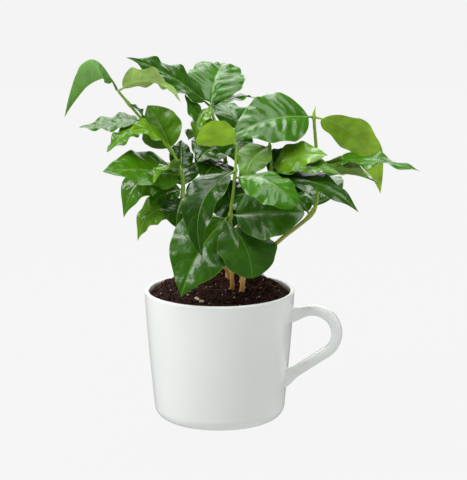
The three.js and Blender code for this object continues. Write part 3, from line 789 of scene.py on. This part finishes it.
def between(low, high, shape, power=1):
    """Random numbers from low to high, even, or mostly low where the power is over 1."""
    return low + (high - low) * draw.random(shape) ** power


def scattered(count, reach):
    """Random places on the soil's face, even over its area out to the given share of its radius."""
    angle = draw.random(count) * 2 * np.pi
    radius = SOIL_RADIUS * reach * np.sqrt(draw.random(count))
    x, y = radius * np.cos(angle), radius * np.sin(angle)
    return np.stack([x, y, crumbly(x, y)], axis=-1)


def crumb_field(places, radii):
    """Crumbs at the places: each a ball with jittered corners, stretched unevenly along three axes."""
    count, corners = len(places), len(BALL_CORNERS)
    shape = BALL_CORNERS * between(*CRUMB_JITTER, (count, corners, 1))
    shape = shape * between(*CRUMB_STRETCH, (count, 1, 3)) * radii[:, None, None]
    points = (places[:, None] + shape).reshape(-1, 3)
    faces = (BALL_FACES + corners * np.arange(count)[:, None, None]).reshape(-1, 3)
    return points, faces


for name, stuff, count, radii in (
    ("soil_crumbs", peat, CRUMB_COUNT, CRUMB_RADII),
    ("bark_chips", chips, CHIP_COUNT, CHIP_RADII),
):
    crumbs = crumb_field(scattered(count, CRUMB_REACH), between(*radii, count, power=2))
    put_mesh(name, crumbs, [stuff])


def perlite_field():
    """Perlite: small grains scattered over the soil, and the large ones of the clump."""
    clump = np.array(PERLITE_CLUMP)
    places = np.concatenate([scattered(PERLITE_COUNT, PERLITE_REACH), clump])
    places[:, 2] = crumbly(places[:, 0], places[:, 1]) + PERLITE_LIFT
    return crumb_field(places, np.concatenate([between(*PERLITE_RADII, PERLITE_COUNT), clump[:, 2]]))


put_mesh("perlite_grains", perlite_field(), [perlite])


def thread_field(count):
    """Three-sided threads on the soil: each an arc of a random bearing and bend, raised in the middle."""
    places = scattered(count, THREAD_REACH)
    share = np.linspace(-0.5, 0.5, THREAD_POINTS)[None, :]
    length = between(*THREAD_LENGTHS, (count, 1))
    bearing = between(0, 2 * np.pi, (count, 1)) + between(-0.5, 0.5, (count, 1)) * THREAD_BEND * share
    x = places[:, :1] + length * share * np.cos(bearing)
    y = places[:, 1:2] + length * share * np.sin(bearing)
    inside = np.minimum(1, SOIL_RADIUS * THREAD_LIMIT / np.maximum(np.hypot(x, y), 1e-6))
    x, y = x * inside, y * inside
    z = crumbly(x, y) + THREAD_LIFT + between(0, THREAD_ARCH, (count, 1)) * (1 - 4 * share ** 2)
    centre = np.stack([x, y, z], axis=-1)
    heading = unit(np.gradient(centre, axis=1) + 1e-6)
    side = unit(np.cross(heading, [0, 0, 1.0]) + [1e-6, 0, 0])
    up = np.cross(side, heading)
    radius = between(*THREAD_RADII, (count, 1, 1))
    spokes = [centre + radius * (np.cos(a) * side + np.sin(a) * up) for a in np.radians([-30, 210, 90])]
    rings = np.stack(spokes, axis=2).reshape(count, -1, 3)
    points = np.concatenate([rings, centre[:, [0, -1]]], axis=1)
    quads, triangles = tube_faces(THREAD_POINTS, len(spokes))
    shift = (points.shape[1] * np.arange(count))[:, None, None]
    return points.reshape(-1, 3), (quads + shift).reshape(-1, 4), (triangles + shift).reshape(-1, 3)


put_mesh("root_threads", thread_field(THREAD_COUNT), [threads])


# Stems


def foot_height(x, y):
    """Height of the flat cut where a stem stands, a little way down in the soil."""
    return float(soil_height(x, y)) - SEAT_DEPTH + GAP


def stem_curve(points):
    """A smooth curve through the points, as centres at fine steps.

    Between each two points it is the cubic whose slope at a point is half the step between that point's
    neighbours, with the end steps carried on straight.
    """
    first = points[0]
    p = np.array([(*first, foot_height(*first)), *points[1:]], float)
    p = np.concatenate([[2 * p[0] - p[1]], p, [2 * p[-1] - p[-2]]])
    u = np.linspace(0, len(points) - 1, CURVE_STEPS)
    i = np.minimum(u.astype(int), len(points) - 2)
    f = (u - i)[:, None]
    a, b, c, d = p[i], p[i + 1], p[i + 2], p[i + 3]
    square, cube = 2 * a - 5 * b + 4 * c - d, 3 * b - a - 3 * c + d
    return 0.5 * (2 * b + (c - a) * f + square * f ** 2 + cube * f ** 3)


def stem_point(curve, z):
    """The stem's centre at the heights z."""
    z = np.asarray(z, float)
    x, y = (np.interp(z, curve[:, 2], curve[:, k]) for k in (0, 1))
    return np.stack([x, y, z], axis=-1)


def limb(curve, girth, start, end, nodes=(), bud=False):
    """A round section carried up the stem between two heights.

    The radius tapers evenly, flares at the root, swells at the nodes, where leaves join, and at a bud narrows
    to a point. Lengthwise ribs and shallow rings give the bark its relief.
    """
    z = np.linspace(start, end, max(int((end - start) / STEM_STEP), 6))
    foot, top = curve[0, 2], curve[-1, 2]
    centre = stem_point(curve, z)
    heading = unit(np.gradient(centre, axis=0))
    first = unit(np.array([1.0, 0, 0]) - heading * heading[:, :1])
    second = np.cross(heading, first)
    radius = girth * (1 + (TIP_TAPER - 1) * np.clip((z - foot) / (top - foot), 0, 1)
                      + ROOT_FLARE * np.exp(-2 * np.maximum(z - foot, 0) / ROOT_FLARE_HEIGHT))
    for node in nodes:
        radius = radius + girth * NODE_SWELL * np.exp(-((z - node) / NODE_LENGTH) ** 2)
    if bud:
        radius = radius * (1 - BUD_NARROWING * smoothstep(end - BUD_LENGTH, end, z) ** BUD_POWER)
    angle = np.linspace(0, 2 * np.pi, STEM_SIDES, endpoint=False)
    relief = sum(depth * np.sin(ribs * angle + turn * z[:, None]) for depth, ribs, turn in BARK_RIBS)
    relief = relief + BARK_RING_DEPTH * np.sin(BARK_RING_TURN * z[:, None] + np.sin(angle))
    spread = (radius[:, None] * (1 + relief))[..., None]
    spokes = np.cos(angle)[:, None] * first[:, None] + np.sin(angle)[:, None] * second[:, None]
    return tube(centre[:, None] + spread * spokes, centre[0], centre[-1])


# Leaves


class Blade(NamedTuple):
    """A leaf's mesh, its vein map and chart at the face corners, and its points' distances off the midrib."""

    points: np.ndarray
    quads: np.ndarray
    triangles: np.ndarray
    veins: tuple
    chart: tuple
    off_rib: np.ndarray


def blade_width(share, tip):
    """Share of the full width: a power of the way from the stalk times a power of the way to the tip."""
    peak = BLADE_SHOULDER / (BLADE_SHOULDER + tip)
    full = peak ** BLADE_SHOULDER * (1 - peak) ** tip
    return share ** BLADE_SHOULDER * (1 - share) ** tip / full


def vein_count(share, s):
    """The number of hollows from the stalk to a place on the blade, whole in the middle of a hollow.

    share goes along the blade and s across it, from -1 to 1. The hollows crowd a little towards the stalk,
    sweep forward to the margin, and are staggered between the two halves.
    """
    forward = VEIN_SLANT * np.abs(s) ** VEIN_SWEEP
    return VEIN_PAIRS * (share ** VEIN_CROWDING - forward) + VEIN_STAGGER * np.sign(s)


def midrib(leaf, t):
    """The midrib's run from its root, and the blade's directions across and up, at shares t of the chord.

    The midrib is the chord from root to tip, bowed by arch, sway and nod as a parabola. The blade's sections
    turn SECTION_TURN as far as the parabola does.
    """
    bearing, roll = math.radians(leaf.bearing), math.radians(leaf.roll)
    side = np.array([-math.sin(bearing), math.cos(bearing), 0])
    chord = np.array([leaf.reach * math.cos(bearing), leaf.reach * math.sin(bearing), leaf.rise])
    bend = unit(np.cross(chord, side)) * leaf.arch + side * leaf.sway
    bow = 4 * t * (1 - t)
    slope = SECTION_TURN * (4 - 8 * t)
    heading = unit(chord * (1 - leaf.nod * slope) + bend * slope)
    upright = unit(np.cross(heading, side))
    level = np.cross(upright, heading)
    across = level * math.cos(roll) + upright * math.sin(roll)
    normal = upright * math.cos(roll) - level * math.sin(roll)
    return chord * (t - leaf.nod * bow) + bend * bow, across, normal


def blade_relief(leaf, share, s, count):
    """Heights on the blade: waves at its margin, bulges between its veins, broad swells and a crinkled edge.

    The bulges are the squared sine of the vein count, made uneven by two slow sines, and flat at the midrib.
    All of it fades to the stalk and the tip, and phase sets each leaf's own pattern.
    """
    a, middle = np.abs(s), np.sin(np.pi * share)
    phase = 0.7 * leaf.at + 0.05 * leaf.bearing
    turn = 2 * np.pi * MARGIN_WAVES * share + phase + np.where(s > 0, MARGIN_OFFSET, 0.0)
    wave = leaf.wave * middle * s ** 2 * np.sin(turn)
    uneven = 0.55 + 0.45 * np.sin(9 * share + 3 * s + phase) * np.sin(5 * share - 4 * s + 2 * phase)
    bulge = QUILT_HEIGHT * leaf.width / QUILT_WIDTH * np.sin(np.pi * count) ** 2 * uneven
    bulge = bulge * middle ** 0.6 * smoothstep(0, 0.35, a) * (1 - 0.5 * a ** 2)
    swell = SWELL_HEIGHT * middle * a * (1 - a) * np.sin(11 * share + 2.5 * s + 1.7 * phase)
    crinkle = CRINKLE_HEIGHT * middle * a ** 4 * np.sin(2 * np.pi * count + 1)
    return wave + leaf.quilt * (bulge + swell + crinkle)


def corner_map(values):
    """Values on a leaf's whole grid, as those at the corners of its quads and of its two end fans."""
    grid = values[:-1]
    quads = [grid[:-1, :-1], grid[:-1, 1:], grid[1:, 1:], grid[1:, :-1]]
    first = [0.5 * (grid[0, :-1] + grid[0, 1:]), grid[0, 1:], grid[0, :-1]]
    final = [0.5 * (values[-1, :-1] + values[-1, 1:]), grid[-1, :-1], grid[-1, 1:]]
    fans = [np.stack(fan, axis=1) for fan in (first, final)]
    return np.stack(quads, axis=2).reshape(-1, 4, values.shape[-1]), np.concatenate(fans)


def leaf_blade(root, leaf):
    """A stalk that widens into a thin closed blade: a ring of points carried along the leaf's midrib.

    The ring goes across the upper face from s = 1 to -1 and back across the under face. Each half of the
    blade is folded up, curled down and raised by its relief. The midrib sinks into the upper face and stands
    out of the under face, and the two faces meet at the margin, which is faintly scalloped.
    """
    t = np.linspace(0, 1, LEAF_ROWS + 1)[:, None]
    over = np.linspace(1, -1, LEAF_COLUMNS + 1)
    s = np.concatenate([over, -over[1:]])[None, :]
    upper = np.arange(LEAF_RING + 1)[None, :] <= LEAF_COLUMNS
    a = np.abs(s)
    share = np.clip((t - PETIOLE_SHARE) / (1 - PETIOLE_SHARE), 0, 1)
    count = vein_count(share, s)
    half = np.maximum(blade_width(share, leaf.tip) * leaf.width / 2, PETIOLE_RADIUS * (1 - t))
    scallop = SCALLOP_SHARE * leaf.quilt ** 2 * np.sin(2 * np.pi * count) * smoothstep(0.5, 1, a)
    out = half * a * (1 + scallop * np.sin(np.pi * share))
    fold = np.radians(leaf.fold - BLADE_CURL * a / 2)
    stalk = 1 - smoothstep(0, 2 * PETIOLE_SHARE, t)
    thick = BLADE_THICKNESS / 2 * (1 - stalk) + PETIOLE_RADIUS * stalk
    thick = thick * np.sqrt(1 - s ** 2) * (1 - t ** TIP_THINNING)
    rib = np.exp(-(a * half / RIB_SPREAD) ** 2) * (1 - stalk) * (1 - share)
    skin = np.where(upper, thick - RIB_SINK * rib, -thick - RIB_STAND * rib)
    height = out * np.sin(fold) + blade_relief(leaf, share, s, count) + skin
    run, across, normal = midrib(leaf, t)
    points = (root + run)[:, None] + (np.sign(s) * out * np.cos(fold))[..., None] * across[:, None]
    points = points + height[..., None] * normal[:, None]
    wide = np.broadcast_to(s, height.shape)
    veins = corner_map(np.stack([count, wide], axis=-1))
    chart = corner_map(np.stack([np.broadcast_to(t, height.shape), 0.5 + 0.5 * wide], axis=-1))
    off_rib = (a * half / (RIB_HALF_WIDTH - RIB_NARROWING * share))[:-1, :-1]
    off_rib = np.concatenate([off_rib.ravel(), [0, 0]])
    return Blade(*tube(points[:-1, :-1], root, points[-1, 0]), veins, chart, off_rib)


def under_faces():
    """1 for the faces on a leaf's under side and 0 for those above, for its quads and for its end fans."""
    ring = (np.arange(LEAF_RING) >= LEAF_COLUMNS).astype(int)
    return np.tile(ring, LEAF_ROWS - 1), np.tile(ring, 2)


def leaf_charts(blades, under):
    """The upper and under face of each leaf in a cell of its own on a grid, with a margin round it."""
    columns = math.ceil(math.sqrt(len(blades)))
    rows = math.ceil(2 * len(blades) / columns)
    charts = ([], [])
    for k, blade in enumerate(blades):
        for chart, flat, is_under in zip(charts, blade.chart, under):
            cell = 2 * k + is_under
            corner = np.stack([cell % columns, cell // columns], axis=-1)[:, None, :]
            chart.append((corner + CHART_MARGIN + (1 - 2 * CHART_MARGIN) * flat) / [columns, rows])
    return [np.concatenate(chart) for chart in charts]


def dress_shoot(name, shoot, curve):
    """A shoot's twig and its leaves, in place of its foliage mass."""
    mass = f"foliage_{name}"
    topmost = shoot.end == max(other.end for other in SHOOTS.values() if other.stem == shoot.stem)
    nodes = sorted({leaf.at for leaf in shoot.leaves})
    twig = limb(curve, STEMS[shoot.stem].girth, shoot.start, shoot.end, nodes, topmost)
    put_mesh(f"twig_{name}", twig, [bark], [mass])
    under = under_faces()
    blades = [leaf_blade(stem_point(curve, leaf.at), leaf) for leaf in shoot.leaves]
    layers = {
        "OFBake": leaf_charts(blades, under),
        "veins": [np.concatenate(corners) for corners in zip(*(blade.veins for blade in blades))],
    }
    per_leaf = len(blades[0].points)
    attributes = {
        # Per-point ages, which on some leaves also hold painted shade and painted sheen, go to the leaf
        # shader
        "age_shade_and_sheen": np.repeat([leaf.age_shade_and_sheen for leaf in shoot.leaves], per_leaf),
        "wax": np.repeat([leaf.wax for leaf in shoot.leaves], per_leaf),
        "rib": np.concatenate([blade.off_rib for blade in blades]),
    }
    picks = np.concatenate([np.tile(is_under, len(blades)) for is_under in under])
    put_mesh(f"leaves_{name}", joined(blades), [leaf_upper, leaf_under], [mass],
             layers, attributes, picks)


curves = {name: stem_curve(stem.points) for name, stem in STEMS.items()}

for name, shoot in SHOOTS.items():
    dress_shoot(name, shoot, curves[shoot.stem])

for name, stem in STEMS.items():
    top = min(shoot.start for shoot in SHOOTS.values() if shoot.stem == name)
    lower = limb(curves[name], stem.girth, curves[name][0, 2] - ROOT_SINK, top + GAP)
    put_mesh(f"bark_{name}", lower, [bark], [f"stem_{name}"])


# Studio

scene = bpy.context.scene
scene.view_settings.view_transform = "Standard"

# Pale seamless floor, lit evenly so that it reads nearly white
floor_mesh = bpy.data.meshes.new("floor")
square = [(-1, -1), (1, -1), (1, 1), (-1, 1)]
corners = [(x * FLOOR_REACH, y * FLOOR_REACH, -FLOOR_DROP) for x, y in square]
floor_mesh.from_pydata(corners, [], [(0, 1, 2, 3)])
floor = bpy.data.objects.new("floor", floor_mesh)
scene.collection.objects.link(floor)
pale = new_material("pale seamless floor")
matt = add_node(pale, "ShaderNodeBsdfDiffuse", {"Color": (FLOOR_SHADE, FLOOR_SHADE, FLOOR_SHADE, 1)})
even = add_node(pale, "ShaderNodeEmission", {"Color": (1, 1, 1, 1), "Strength": FLOOR_GLOW})
sheet = add_node(pale, "ShaderNodeAddShader", {0: matt.outputs["BSDF"], 1: even.outputs["Emission"]})
add_node(pale, "ShaderNodeOutputMaterial", {"Surface": sheet.outputs["Shader"]})
floor_mesh.materials.append(pale)
floor.visible_glossy = False

world = bpy.data.worlds.new("studio")
scene.world = world
world.use_nodes = True
world.node_tree.nodes["Background"].inputs["Color"].default_value = (1, 1, 1, 1)
world.node_tree.nodes["Background"].inputs["Strength"].default_value = SKY_GLOW


def direction(bearing, height):
    """The way from the plant to a place at that bearing, from -Y towards +X, and height above level."""
    a, e = math.radians(bearing), math.radians(height)
    return Vector((math.sin(a) * math.cos(e), -math.cos(a) * math.cos(e), math.sin(e)))


def softbox(name, bearing, height, distance, size, radiance, shines=True):
    """A square light that faces the plant: bearing in degrees to the right of the camera, height above level.

    One that doesn't shine lights the plant without a highlight of its own.
    """
    light = bpy.data.lights.new(name, "AREA")
    light.shape = "SQUARE"
    light.size = size
    light.energy = radiance * math.pi * size ** 2
    lamp = bpy.data.objects.new(name, light)
    back = direction(CAMERA_AZIMUTH + bearing, height)
    lamp.location = Vector(LAMP_AIM) + back * distance
    lamp.rotation_mode = "QUATERNION"
    lamp.rotation_quaternion = (-back).to_track_quat("-Z", "Y")
    lamp.visible_glossy = shines
    scene.collection.objects.link(lamp)


softbox("key", bearing=-62, height=38, distance=1.0, size=0.5, radiance=9.0)
softbox("top", bearing=-150, height=70, distance=0.9, size=0.5, radiance=8.0)
softbox("backdrop", bearing=180, height=28, distance=1.6, size=1.5, radiance=2.0)
softbox("fill", bearing=80, height=20, distance=1.2, size=0.5, radiance=2.2, shines=False)
softbox("rim", bearing=118, height=30, distance=1.2, size=0.5, radiance=5.0, shines=False)
softbox("overhead", bearing=15, height=68, distance=1.0, size=0.7, radiance=4.0)
softbox("side", bearing=-100, height=6, distance=1.2, size=0.8, radiance=1.8, shines=False)

# Camera: from the photographed side, a little above, far off with a long lens
back = direction(CAMERA_AZIMUTH, CAMERA_ELEVATION)
right = direction(CAMERA_AZIMUTH + 90, 0)
up = back.cross(right)
lens = bpy.data.cameras.new("camera")
lens.sensor_width = SENSOR_WIDTH
lens.sensor_fit = "HORIZONTAL"
lens.lens = FOCUS_PIXELS / PHOTO_WIDTH * SENSOR_WIDTH
camera = bpy.data.objects.new("camera", lens)
camera.location = Vector(AIM) + back * CAMERA_DISTANCE
aim_right = (PHOTO_WIDTH / 2 - AIM_PIXEL[0]) / FOCUS_PIXELS
aim_up = (AIM_PIXEL[1] - PHOTO_HEIGHT / 2) / FOCUS_PIXELS
camera.rotation_mode = "QUATERNION"
camera.rotation_quaternion = (right * aim_right + up * aim_up - back).to_track_quat("-Z", "Y")
scene.collection.objects.link(camera)
scene.camera = camera
